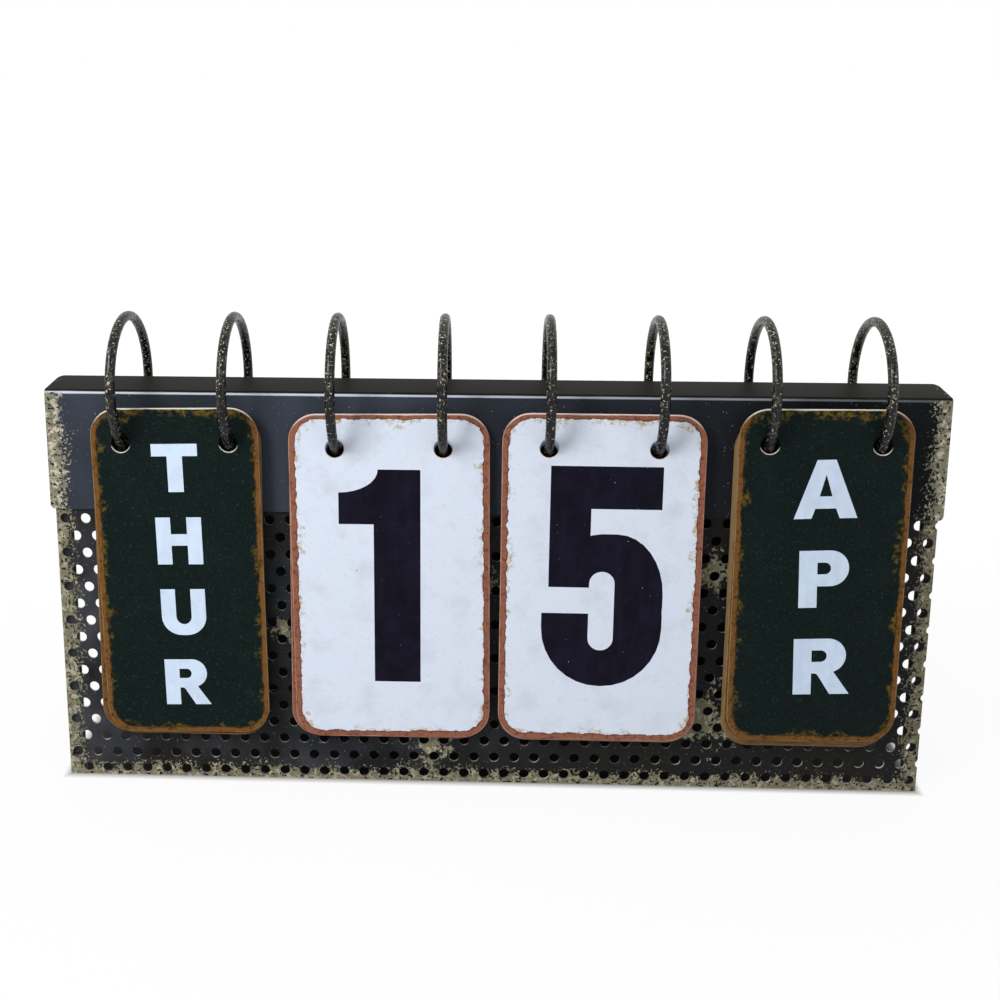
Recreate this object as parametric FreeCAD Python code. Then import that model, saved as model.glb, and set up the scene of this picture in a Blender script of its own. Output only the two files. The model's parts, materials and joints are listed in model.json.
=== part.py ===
import FreeCAD
import Part
import math
import os
from collections import namedtuple

# Perpetual desk calendar: a folded steel stand, eight wire rings and four stacks of printed steel tags.
# Millimetres and degrees. X runs to the right, Y to the back and Z up, and the front faces -Y.
# The origin lies on the table, below the middle of the whole calendar's bounding box.

# Stand
lean = 9.0
slope_length = 125.0
top_width = 16.0
sheet = 0.8
cap_end = 7.1
band_height = 37.0
fold_radius = 1.4
cap_corner = 4.0
band_corner = 1.5
panel_inset = 1.0
panel_tuck = 13.0
panel_corner = 1.0
hem_return = 5.0
hem_gap = 0.2
back_panel_inset = 7.5

# Perforation of the front panel: staggered rows, which the tags leave in view below and beside them
hole_pitch = 6.35
hole_diameter = 3.2
first_row_rise = 2.3
first_column_inset = 6.1
row_tilt = 0.3
full_rows = 2
cover_margin = 0.2

# Rings
ring_bore = 38.0
wire = 3.0
ring_rise = 0.0
ring_spacing = 32.6
ring_gap = 0.4
wire_hole = 5.0

# Tags
tag_gap = 3.7
stack_shift = 1.2
tag_sheet = 0.5
tag_clearance = 0.4
tag_hole = 5.6
hole_inset = 10.6
tag_corner = 8.5
word_tag_width = 50.8
word_tag_height = 103.0
number_tag_width = 60.5
number_tag_height = 102.7
hang_fade_share = -0.6

# Straight sides that stand for round forms
punch_sides = 6
drill_sides = 8
corner_sides = 4
wire_sides = 8
ring_sides = 20

# Length by which a cutting tool passes the sheet that it cuts
overrun = 5.0

# A stack's column is counted from the middle of the ridge. Its tags are named from the outermost one inwards,
# on the front slope and on the back slope. The angle hang is how far askew its front tag hangs.
Stack = namedtuple("Stack", "name column width height pitch hang front back")
stacks = (
    Stack("weekday", -1.5, word_tag_width, word_tag_height, 1.35, 0.9,
          ("thu", "fri", "sat", "sun"), ("wed", "tue", "mon")),
    Stack("tens", -0.5, number_tag_width, number_tag_height, 1.0, 0.6,
          ("1", "2", "3"), ("0",)),
    Stack("units", 0.5, number_tag_width, number_tag_height, 0.85, -0.15,
          ("5", "6", "7", "8", "9"), ("4", "3", "2", "1", "0")),
    Stack("month", 1.5, word_tag_width, word_tag_height, 0.8, 0.3,
          ("apr", "may", "jun", "jul", "aug", "sep", "oct", "nov", "dec"), ("mar", "feb", "jan")),
)

# Derived sizes
sine = math.sin(math.radians(lean))
cosine = math.cos(math.radians(lean))
tangent = sine / cosine
stack_spacing = max(word_tag_width, number_tag_width) + tag_gap
cap_width = len(stacks) * stack_spacing + 2 * cap_end
panel_width = cap_width - 2 * panel_inset
back_panel_width = cap_width - 2 * back_panel_inset
stand_height = slope_length * cosine
stand_reach = top_width / 2 + slope_length * sine
ring_radius = (ring_bore + wire) / 2
centre_out = ring_rise * sine - top_width / 2 * cosine
centre_drop = -ring_rise * cosine - top_width / 2 * sine
row_pitch = hole_pitch * math.sqrt(3) / 2
bend_radius = sheet + hem_gap / 2
panel_height = slope_length - band_height + panel_tuck

front_side = -1
back_side = 1
centre = FreeCAD.Vector(0, 0, 0)
across = FreeCAD.Vector(1, 0, 0)
upright = FreeCAD.Vector(0, 0, 1)


def ring_drop(out):
    """Distance down a slope at which the ring's wire crosses a plane that lies out from the cap's face."""
    return centre_drop + math.sqrt(ring_radius ** 2 - (out - centre_out) ** 2)


def tag_out(stack, place):
    """Distance of a tag's middle plane from the cap's face, where place counts from the innermost tag."""
    return tag_clearance + tag_sheet / 2 + place * stack.pitch


def tag_reach(stack, count):
    """Distance from the ridge's middle plane to the lower outer edge of the outermost of count tags."""
    out = tag_out(stack, count - 1)
    lower_drop = ring_drop(out) + stack.height - hole_inset
    return top_width / 2 + lower_drop * sine + (out + tag_sheet / 2) * cosine


front_reach = max([stand_reach] + [tag_reach(stack, len(stack.front)) for stack in stacks])
back_reach = max([stand_reach] + [tag_reach(stack, len(stack.back)) for stack in stacks])
ridge_y = (front_reach - back_reach) / 2


def slope_place(x, drop, out, side):
    """Placement on a slope: local X runs along it, local Y up it and local Z out of it."""
    turn = FreeCAD.Rotation(across, 90 - lean)
    if side == back_side:
        turn = FreeCAD.Rotation(upright, 180).multiply(turn)
    y = side * (top_width / 2 + drop * sine + out * cosine)
    z = stand_height - drop * cosine + out * sine
    return FreeCAD.Placement(FreeCAD.Vector(x, ridge_y + y, z), turn)


def polygon(x, y, radius, sides):
    """Closed wire of a regular polygon in the XY plane, with a corner at its right."""
    points = []
    for index in range(sides + 1):
        angle = 2 * math.pi * index / sides
        points.append(FreeCAD.Vector(x + radius * math.cos(angle), y + radius * math.sin(angle), 0))
    return Part.makePolygon(points)


def hole_outline(x, y, diameter, sides):
    """Closed wire of a hole, whose straight sides touch the true round hole from outside."""
    return polygon(x, y, diameter / 2 / math.cos(math.pi / sides), sides)


def drill(x, y, diameter, sides):
    """Cutting tool for one hole through a sheet that lies near the XY plane."""
    face = Part.Face(hole_outline(x, y, diameter, sides))
    face.translate(upright * -overrun)
    return face.extrude(upright * (2 * overrun))


def rounded_outline(half_width, bottom, top, radius):
    """Closed wire of a rectangle in the XY plane, its corners drawn with a few straight sides."""
    points = []
    inner_width = half_width - radius
    corners = ((inner_width, top - radius), (-inner_width, top - radius),
               (-inner_width, bottom + radius), (inner_width, bottom + radius))
    for quarter, (x, y) in enumerate(corners):
        for index in range(corner_sides + 1):
            angle = math.pi / 2 * (quarter + index / corner_sides)
            points.append(FreeCAD.Vector(x + radius * math.cos(angle), y + radius * math.sin(angle), 0))
    return Part.makePolygon(points + points[:1])


def stack_middle(stack):
    """Place of a stack's middle along the ridge. The row of stacks hangs a little off the middle."""
    return stack.column * stack_spacing + stack_shift


def ring_columns():
    """Each ring's name and its place along the ridge."""
    for stack in stacks:
        middle = stack_middle(stack)
        yield stack.name + "_left", middle - ring_spacing / 2
        yield stack.name + "_right", middle + ring_spacing / 2


def below_table():
    """Block under the table's level, which trims the feet of the slopes."""
    width = cap_width + 2 * overrun
    depth = 2 * (front_reach + back_reach)
    block = Part.makeBox(width, depth, 2 * overrun)
    block.translate(FreeCAD.Vector(-width / 2, ridge_y - depth / 2, -2 * overrun))
    return block


def cap_section(inset, radius):
    """Half of the cap's folded line: the arc of its fold as three points, then its foot."""
    turn = math.radians(90 - lean)
    back_off = radius * math.tan(turn / 2)
    fold_y = top_width / 2 - inset * math.tan(turn / 2)
    fold_z = stand_height - inset
    start = FreeCAD.Vector(0, fold_y - back_off, fold_z)
    middle_y = start.y + radius * math.sin(turn / 2)
    middle = FreeCAD.Vector(0, middle_y, fold_z - radius * (1 - math.cos(turn / 2)))
    end = FreeCAD.Vector(0, fold_y + back_off * sine, fold_z - back_off * cosine)
    foot_y = top_width / 2 + band_height * sine - inset * cosine
    foot_z = stand_height - band_height * cosine - inset * sine
    return start, middle, end, FreeCAD.Vector(0, foot_y, foot_z)


def mirrored(point):
    return FreeCAD.Vector(point.x, -point.y, point.z)


def ridge_cap():
    """Folded cap: the front band, the flat top and the narrower band at the back, drilled for the rings."""
    edges = []
    outer = cap_section(0, fold_radius)
    inner = cap_section(sheet, fold_radius - sheet)
    for start, middle, end, foot in (outer, inner):
        edges.append(Part.LineSegment(mirrored(start), start).toShape())
        for shown in (lambda point: point, mirrored):
            edges.append(Part.Arc(shown(start), shown(middle), shown(end)).toShape())
            edges.append(Part.LineSegment(shown(end), shown(foot)).toShape())
    for shown in (lambda point: point, mirrored):
        edges.append(Part.LineSegment(shown(outer[-1]), shown(inner[-1])).toShape())
    section = Part.Face(Part.Wire(Part.__sortEdges__(edges)))
    cap = section.extrude(across * cap_width)
    cap.translate(FreeCAD.Vector(-cap_width / 2, ridge_y, 0))
    waste = []
    for hand in (-1, 1):
        waste.append(cap_end_waste(hand))
        waste.append(band_corner_waste(hand, front_side, cap_width / 2))
        waste.append(band_corner_waste(hand, back_side, cap_width / 2 - cap_corner))
    for name, x in ring_columns():
        for side in (front_side, back_side):
            tool = drill(0, 0, wire_hole, drill_sides)
            tool.Placement = slope_place(x, ring_drop(0), 0, side)
            waste.append(tool)
    return cap.cut(waste)


def cap_end_waste(hand):
    """What is cut from one end of the cap: the top's back corner is rounded and the back band set in."""
    corner_x = cap_width / 2 - cap_corner
    corner_y = ridge_y + top_width / 2 - cap_corner
    start_x = corner_x if hand > 0 else -corner_x - cap_corner - overrun
    block = Part.makeBox(cap_corner + overrun, stand_reach, band_height + overrun)
    block.translate(FreeCAD.Vector(start_x, corner_y, stand_height - band_height))
    post = Part.makeCylinder(cap_corner, stand_height + overrun,
                             FreeCAD.Vector(hand * corner_x, corner_y, 0), upright)
    return block.cut(post)


def band_corner_waste(hand, side, half_width):
    """What rounds one lower corner of a band."""
    block = Part.makeBox(band_corner + overrun, band_corner + overrun, 2 * overrun)
    start_x = half_width - band_corner if hand > 0 else -half_width - overrun
    block.translate(FreeCAD.Vector(start_x, -overrun, -overrun))
    post_foot = FreeCAD.Vector(hand * (half_width - band_corner), band_corner, -overrun)
    post = Part.makeCylinder(band_corner, 2 * overrun, post_foot, upright)
    tool = block.cut(post)
    tool.Placement = slope_place(0, band_height, 0, side)
    return tool


def perforation_centres():
    """Centres of the punched holes that show, measured from the panel's lower left corner."""
    tilt = math.tan(math.radians(row_tilt))
    shown_height = slope_length - band_height + hole_diameter / 2
    covers = []
    for stack in stacks:
        middle = panel_width / 2 + stack_middle(stack)
        reach = stack.width / 2 - hole_diameter / 2 - cover_margin
        covers.append((middle - reach, middle + reach))
    for row in range(int(shown_height / row_pitch) + 1):
        for column in range(-1, int(panel_width / hole_pitch) + 1):
            x = first_column_inset + (column + row % 2 / 2) * hole_pitch
            y = first_row_rise + row * row_pitch + x * tilt
            from_edge = min(x, panel_width - x) - hole_diameter / 2
            inside = from_edge > bend_radius and y < shown_height
            covered = row >= full_rows and any(low < x < high for low, high in covers)
            if inside and not covered:
                yield x, y


def side_hem(hand, foot):
    """Sheet folded flat behind one side of the front panel, from its bend to the end of its return."""
    depth = 2 * bend_radius
    fold_x = hand * (panel_width / 2 - bend_radius)
    flap_x = hand * (panel_width / 2 - hem_return)
    corners = ((fold_x, 0), (hand * panel_width / 2, -bend_radius), (fold_x, -depth), (flap_x, -depth),
               (flap_x, sheet - depth), (fold_x, sheet - depth),
               (fold_x + hand * hem_gap / 2, -bend_radius), (fold_x, -sheet))
    points = [FreeCAD.Vector(x, -foot, z) for x, z in corners]
    edges = [Part.Arc(*points[0:3]).toShape()]
    for start, end in zip(points[2:5], points[3:6]):
        edges.append(Part.LineSegment(start, end).toShape())
    edges.append(Part.Arc(*points[5:8]).toShape())
    edges.append(Part.LineSegment(points[7], points[0]).toShape())
    return Part.Face(Part.Wire(edges)).extrude(FreeCAD.Vector(0, panel_height + foot, 0))


def perforated_panel():
    """Front panel: a perforated sheet with a flattened hem down each side, tucked behind the band."""
    half = panel_width / 2
    foot = 2 * sheet * tangent
    front = Part.makeBox(panel_width - 2 * bend_radius, panel_height + foot, sheet)
    front.translate(FreeCAD.Vector(bend_radius - half, -foot, -sheet))
    front = front.cut([drill(x - half, y, hole_diameter, punch_sides) for x, y in perforation_centres()])
    layers = []
    for layer in (front, side_hem(-1, foot), side_hem(1, foot)):
        layer.Placement = slope_place(0, slope_length, -sheet, front_side).multiply(layer.Placement)
        layers.append(layer.cut(below_table()))
    return layers[0].fuse(layers[1:]).removeSplitter()


def back_panel():
    """Plain back panel, tucked inside the back band."""
    foot = 2 * sheet * tangent
    panel = Part.Face(rounded_outline(back_panel_width / 2, -foot, panel_height, panel_corner))
    panel = panel.extrude(upright * -sheet)
    panel.Placement = slope_place(0, slope_length, -sheet, back_side).multiply(panel.Placement)
    return panel.cut(below_table())


def ring(x):
    """Wire ring whose ends meet under the ridge. Its straight sides keep to the true circle's line."""
    opening = ring_gap / ring_radius
    corner_radius = 2 * ring_radius / (1 + math.cos(math.pi / ring_sides))
    sections = []
    for index in range(ring_sides + 1):
        angle = opening / 2 + (2 * math.pi - opening) * index / ring_sides
        section = polygon(0, 0, wire / 2, wire_sides)
        section.rotate(centre, FreeCAD.Vector(0, 1, 0), 90)
        section.rotate(centre, upright, 90)
        section.translate(FreeCAD.Vector(0, 0, -corner_radius))
        section.rotate(centre, across, math.degrees(angle))
        sections.append(section)
    loop = Part.makeLoft(sections, True, True)
    loop.translate(FreeCAD.Vector(x, ridge_y, stand_height + ring_rise))
    return loop


def tag(stack, place, order, side):
    """Printed tag with two ring holes, hanging at its place in the stack."""
    outline = rounded_outline(stack.width / 2, hole_inset - stack.height, hole_inset, tag_corner)
    holes = [hole_outline(hand * ring_spacing / 2, 0, tag_hole, drill_sides) for hand in (-1, 1)]
    plate = Part.Face([outline] + holes).extrude(upright * tag_sheet)
    plate.translate(upright * (-tag_sheet / 2))
    plate.rotate(centre, upright, stack.hang * hang_fade_share ** order)
    out = tag_out(stack, place)
    hung = slope_place(stack_middle(stack), ring_drop(out), out, side)
    plate.Placement = hung.multiply(plate.Placement)
    return plate


def write(name, shape):
    """Writes one sub-part and says what it is."""
    shape.exportStep("parts/" + name + ".step")
    print(name, len(shape.Solids), "solid", round(shape.Volume, 1), "mm3")


def main():
    os.makedirs("parts", exist_ok=True)
    write("ridge_cap", ridge_cap())
    write("perforated_panel", perforated_panel())
    write("back_panel", back_panel())
    for name, x in ring_columns():
        write("ring_" + name, ring(x))
    for stack in stacks:
        for side, names in ((front_side, stack.front), (back_side, stack.back)):
            for order, name in enumerate(names):
                place = len(names) - 1 - order
                write(stack.name + "_" + name, tag(stack, place, order, side))


main()
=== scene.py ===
import json
import logging
import math
from dataclasses import dataclass, replace
from enum import Enum
from typing import Callable, Optional, Sequence, Union

import bmesh
import bpy
from mathutils import Matrix, Vector
from mathutils.geometry import delaunay_2d_cdt


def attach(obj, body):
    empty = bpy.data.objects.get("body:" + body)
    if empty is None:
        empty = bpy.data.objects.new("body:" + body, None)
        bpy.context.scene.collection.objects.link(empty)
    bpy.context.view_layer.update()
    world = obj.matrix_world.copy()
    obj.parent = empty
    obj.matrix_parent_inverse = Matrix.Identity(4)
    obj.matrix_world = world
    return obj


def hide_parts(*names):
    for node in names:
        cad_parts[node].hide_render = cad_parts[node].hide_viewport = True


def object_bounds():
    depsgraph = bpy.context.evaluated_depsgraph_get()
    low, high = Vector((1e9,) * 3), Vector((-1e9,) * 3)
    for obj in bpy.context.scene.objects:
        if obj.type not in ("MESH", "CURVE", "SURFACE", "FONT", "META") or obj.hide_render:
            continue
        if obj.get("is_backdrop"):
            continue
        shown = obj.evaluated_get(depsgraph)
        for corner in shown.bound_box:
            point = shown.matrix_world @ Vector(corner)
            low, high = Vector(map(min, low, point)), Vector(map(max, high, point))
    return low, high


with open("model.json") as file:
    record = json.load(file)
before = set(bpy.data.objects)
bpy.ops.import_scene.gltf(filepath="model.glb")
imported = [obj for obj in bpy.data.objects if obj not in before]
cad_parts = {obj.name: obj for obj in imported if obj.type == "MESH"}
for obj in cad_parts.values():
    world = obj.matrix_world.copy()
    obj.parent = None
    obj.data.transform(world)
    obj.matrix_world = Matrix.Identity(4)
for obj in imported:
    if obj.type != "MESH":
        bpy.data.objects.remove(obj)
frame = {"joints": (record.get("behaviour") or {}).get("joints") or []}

CAD_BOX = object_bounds()
LOG = logging.getLogger("calendar")
MM = 0.001

# Sockets of Blender's Mix node, by their place
MIX_FACTOR, MIX_FLOAT_A, MIX_FLOAT_B, MIX_COLOUR_A, MIX_COLOUR_B = 0, 2, 3, 6, 7
MIX_COLOUR = 2
# Noise values between which a sponged speck's edge lies
SPECK_EDGE = (0.73, 0.77)
# Outputs of the Texture Coordinate, Attribute and Light Path nodes, by their place
OBJECT_PLACE, ATTRIBUTE_VECTOR, ATTRIBUTE_NUMBER = 3, 1, 2
CAMERA_RAY, GLOSSY_RAY, TRANSMISSION_RAY = 0, 3, 6
# Steps of each round corner of a glyph, and sides of each ring hole
GLYPH_STEPS = 8
HOLE_SIDES = 28
# Bends in degrees that show as a crease
SHEET_CREASE = 32
WIRE_CREASE = 50

Point = tuple[float, float]
Feed = Union[float, Sequence[float], bpy.types.NodeSocket]


class Side(Enum):
    """The two slopes of the stand, by the sign of their Y."""

    FRONT = -1
    BACK = 1


class Print(Enum):
    """What a stack of tags shows."""

    WORD = "word"
    NUMBER = "number"


def srgb(code: str) -> tuple[float, float, float, float]:
    """Turns an sRGB hex colour into the linear colour that a shader takes."""
    channels = [int(code[start:start + 2], 16) / 255 for start in (1, 3, 5)]
    linear = [c / 12.92 if c <= 0.04045 else ((c + 0.055) / 1.055) ** 2.4 for c in channels]
    return (linear[0], linear[1], linear[2], 1.0)


def add_node(tree: bpy.types.NodeTree, kind: str, feeds: Optional[dict] = None, out: int = 0,
             **settings: object) -> bpy.types.NodeSocket:
    """Adds a node to a tree.

    Args:
        tree: the tree that takes the node.
        kind: the node's type.
        feeds: for each input, by name or place, its value or the output that drives it.
        out: place of the output that is wanted.
        settings: the node's own properties.

    Returns:
        The wanted output, or the first input of a node that has no outputs.
    """
    node = tree.nodes.new(kind)
    for name, value in settings.items():
        setattr(node, name, value)
    for key, value in (feeds or {}).items():
        if isinstance(value, bpy.types.NodeSocket):
            tree.links.new(value, node.inputs[key])
        else:
            node.inputs[key].default_value = value
    return node.outputs[out] if node.outputs else node.inputs[0]


def calc(tree: bpy.types.NodeTree, operation: str, *values: Feed) -> bpy.types.NodeSocket:
    """Adds a maths node that works on the given values, and returns its result."""
    return add_node(tree, "ShaderNodeMath", dict(enumerate(values)), operation=operation)


class Surface:
    """A finish that is built up in layers, each laid over the last through a mask.

    Patterns are in millimetres of the piece's own Object coordinates, or of its own attribute.
    """

    def __init__(self, name: str, ground: str, roughness: float, attribute: str = "",
                 **fixed: Feed) -> None:
        """Starts a material with its ground.

        Args:
            name: the material's name.
            ground: sRGB hex colour of the ground.
            roughness: roughness of the ground.
            attribute: the vector attribute that holds the pattern's place, if it isn't Object coordinates.
            fixed: shader inputs that are the same all over, with _ for each space in their names.
        """
        self.material = bpy.data.materials.new(name)
        self.material.use_nodes = True
        self.tree = self.material.node_tree
        self.tree.nodes.clear()
        self.fixed = fixed
        self.colour: Feed = srgb(ground)
        self.roughness: Feed = roughness
        self.height: Feed = 0.0
        if attribute:
            self.place = self.add("ShaderNodeAttribute", out=ATTRIBUTE_VECTOR, attribute_name=attribute)
        else:
            metres = self.add("ShaderNodeTexCoord", out=OBJECT_PLACE)
            self.place = self.add("ShaderNodeVectorMath", {0: metres, "Scale": 1 / MM}, operation="SCALE")
        axes = self.tree.nodes.new("ShaderNodeSeparateXYZ")
        self.tree.links.new(self.place, axes.inputs[0])
        self.x, self.y, self.z = axes.outputs

    def add(self, kind: str, feeds: Optional[dict] = None, out: int = 0, **settings: object) -> Feed:
        """Adds a node to this finish's tree, as add_node does."""
        return add_node(self.tree, kind, feeds, out, **settings)

    def calc(self, operation: str, *values: Feed) -> Feed:
        """Adds a maths node to this finish's tree, as calc does."""
        return calc(self.tree, operation, *values)

    def stored(self, name: str) -> Feed:
        """Reads the number that a piece stores for each vertex under a name."""
        return self.add("ShaderNodeAttribute", out=ATTRIBUTE_NUMBER, attribute_name=name)

    def from_sides(self, half_width: float) -> Feed:
        """Finds how far in from the nearer end of a piece a point lies."""
        return self.calc("SUBTRACT", half_width, self.calc("ABSOLUTE", self.x))

    def blots(self, size: float, low: float, high: float, detail: float = 3.0, shift: float = 0.0,
              stretch: tuple[float, float, float] = (1.0, 1.0, 1.0)) -> Feed:
        """Makes a mask of irregular blots.

        Args:
            size: usual width of a blot in mm.
            low: noise value where the mask starts.
            high: noise value where the mask is full.
            detail: how many finer octaves fray the blots' edges.
            shift: moves the pattern in mm, so that two masks differ.
            stretch: scale of the pattern along each axis.

        Returns:
            A mask from 0 to 1.
        """
        moved = self.add("ShaderNodeMapping", {"Vector": self.place, "Location": (shift, shift, shift),
                                               "Scale": stretch})
        noise = self.add("ShaderNodeTexNoise", {"Vector": moved, "Scale": 1 / size, "Detail": detail,
                                                "Roughness": 0.62})
        return self.ramp(noise, low, high)

    def near(self, distance: Feed, reach: float, fray: float, size: float, soft: float = 0.5,
             shift: float = 0.0) -> Feed:
        """Makes a mask of what lies near an edge, with a frayed border.

        Args:
            distance: distance from the edge in mm.
            reach: mean width of the mask in mm.
            fray: how far the border wanders in mm.
            size: usual length of its bays in mm.
            soft: width of the border's fade in mm.
            shift: moves the fraying pattern in mm.

        Returns:
            A mask from 0 to 1.
        """
        wander = self.blots(size, 0.3, 0.7, detail=5.0, shift=shift)
        bay = self.calc("MULTIPLY_ADD", wander, fray, reach - fray / 2)
        depth = self.calc("SUBTRACT", bay, distance)
        return self.ramp(depth, 0.0, soft)

    def spray(self, closeness: Feed, size: float, shift: float = 0.0) -> Feed:
        """Makes a mask of sponged paint, solid where it is close and breaking up into specks further off.

        Args:
            closeness: 1 where the paint lies thickest, 0 where it ends.
            size: usual width of a speck in mm.
            shift: moves the pattern in mm.

        Returns:
            A mask from 0 to 1.
        """
        grain = self.blots(size, 0.0, 1.0, detail=3.0, shift=shift)
        raised = self.calc("MULTIPLY_ADD", closeness, 0.5, grain)
        return self.ramp(raised, *SPECK_EDGE)

    def ramp(self, value: Feed, low: float, high: float, start: float = 0.0, end: float = 1.0) -> Feed:
        """Maps a value's range onto another, and holds it at the ends."""
        return self.add("ShaderNodeMapRange", {0: value, 1: low, 2: high, 3: start, 4: end})

    def both(self, first: Feed, second: Feed) -> Feed:
        """Keeps what two masks share."""
        return self.calc("MULTIPLY", first, second)

    def cover(self, mask: Feed, colour: str, roughness: float, rise: float = 0.0) -> None:
        """Lays a layer over the surface.

        Args:
            mask: where the layer lies.
            colour: its sRGB hex colour.
            roughness: its roughness.
            rise: how far it stands proud of what it covers, in mm.
        """
        self.colour = self.add("ShaderNodeMix", {MIX_FACTOR: mask, MIX_COLOUR_A: self.colour,
                                                 MIX_COLOUR_B: srgb(colour)}, MIX_COLOUR, data_type="RGBA")
        self.roughness = self.add("ShaderNodeMix", {MIX_FACTOR: mask, MIX_FLOAT_A: self.roughness,
                                                    MIX_FLOAT_B: roughness})
        if rise:
            self.height = self.calc("MULTIPLY_ADD", mask, rise, self.height)

    def finish(self) -> bpy.types.Material:
        """Joins the layers to the shader.

        Returns:
            The finished material.
        """
        feeds: dict = {"Base Color": self.colour, "Roughness": self.roughness}
        if isinstance(self.height, bpy.types.NodeSocket):
            feeds["Normal"] = self.add("ShaderNodeBump", {"Height": self.height, "Distance": MM})
        for socket, value in self.fixed.items():
            feeds[socket.replace("_", " ")] = value
        shader = self.add("ShaderNodeBsdfPrincipled", feeds)
        self.add("ShaderNodeOutputMaterial", {"Surface": shader})
        return self.material


@dataclass(frozen=True)
class FoldedEnamel:
    """Satin enamel baked on folded steel sheet: it shows a soft painted sheen towards its left end, fine dust, painted
    shade on its flat top and a painted highlight along its front fold.
    """

    ground: str = "#101214"
    # The grey is a painted sheen that lies towards the left end.
    grey: str = "#3a404b"
    dust: str = "#8b909c"
    # Painted shade: the colour of the flat top, darker to stand in for the dark surroundings that it reflects.
    top_shade: str = "#100e0a"
    # Painted highlight: the pale colour of the front fold.
    fold_highlight: str = "#c6cedb"
    patina: str = "#86836f"
    pale: str = "#c6bfab"
    dark: str = "#17181a"
    stain: str = "#2e2516"

    def material(self, half_width: float, fold_z: float, end_reach: float) -> bpy.types.Material:
        """Makes the cap's enamel.

        Args:
            half_width: half the cap's width in mm.
            fold_z: height of the cap's flat top in mm.
            end_reach: how far the patina reaches in from the ends in mm.

        Returns:
            The material.
        """
        coat = Surface("satin_enamel_on_folded_steel", self.ground, 0.42, Specular_IOR_Level=0.06)
        # Painted sheen: a grey tint that fades out towards the right end stands in for the reflection of light from the
        # left. Blots of the ground break it up.
        left = coat.ramp(coat.x, half_width * 0.7, -half_width * 0.2)
        coat.cover(left, self.grey, 0.42)
        coat.cover(coat.both(left, coat.blots(50.0, 0.45, 0.75, detail=2.0)), self.ground, 0.45)
        coat.cover(coat.blots(0.7, 0.7, 0.74, detail=2.0, shift=31.0), self.dust, 0.5, rise=0.01)
        # Painted shade: the flat top is darkened, standing in for the dark surroundings that it reflects. The stains
        # laid on it next are dirt.
        top = coat.ramp(coat.z, fold_z - 0.9, fold_z - 0.3)
        coat.cover(top, self.top_shade, 0.5)
        coat.cover(coat.both(top, coat.blots(2.2, 0.6, 0.7, detail=4.0, shift=12.0)), self.stain, 0.6)
        # Painted highlight: a thin pale line along the front fold, weaker towards the right end, stands in for light
        # caught by the bend.
        fold = coat.calc("ABSOLUTE", coat.calc("SUBTRACT", coat.z, fold_z - 0.75))
        fold = coat.both(coat.near(fold, 0.42, 0.12, 30.0, soft=0.3, shift=5.0), coat.ramp(coat.x, 110.0, -20.0, 0.2))
        front = coat.calc("LESS_THAN", coat.y, 0.0)
        coat.cover(coat.both(fold, front), self.fold_highlight, 0.3)
        inside = coat.calc("MULTIPLY_ADD", top, end_reach, coat.from_sides(half_width))
        dress_patina(coat, inside, end_reach, self.patina, self.pale, self.dark)
        return coat.finish()


def dress_patina(coat: Surface, inside: Feed, reach: float, patina: str, pale: str, dark: str) -> None:
    """Brushes a grey-green patina along an edge, as aged paint is dry-brushed on.

    Args:
        coat: the finish that takes the patina.
        inside: distance from the edge in mm.
        reach: how far in mm its specks reach where they reach least.
        patina: the patina's middle colour.
        pale: colour of its raised flecks.
        dark: colour that shows through it.
    """
    span = coat.calc("MULTIPLY_ADD", coat.blots(9.0, 0.3, 0.7, detail=3.0, shift=9.0), reach, reach)
    share = coat.calc("DIVIDE", inside, span)
    body = coat.spray(coat.ramp(share, 0.0, 1.0, 1.0, 0.0), 0.9, shift=57.0)
    coat.cover(body, patina, 0.72, rise=0.04)
    coat.cover(coat.both(body, coat.blots(2.2, 0.5, 0.6, detail=5.0, shift=21.0)), pale, 0.75, rise=0.02)
    coat.cover(coat.both(body, coat.blots(1.0, 0.56, 0.6, detail=3.0, shift=43.0)), dark, 0.5, rise=-0.03)


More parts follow.
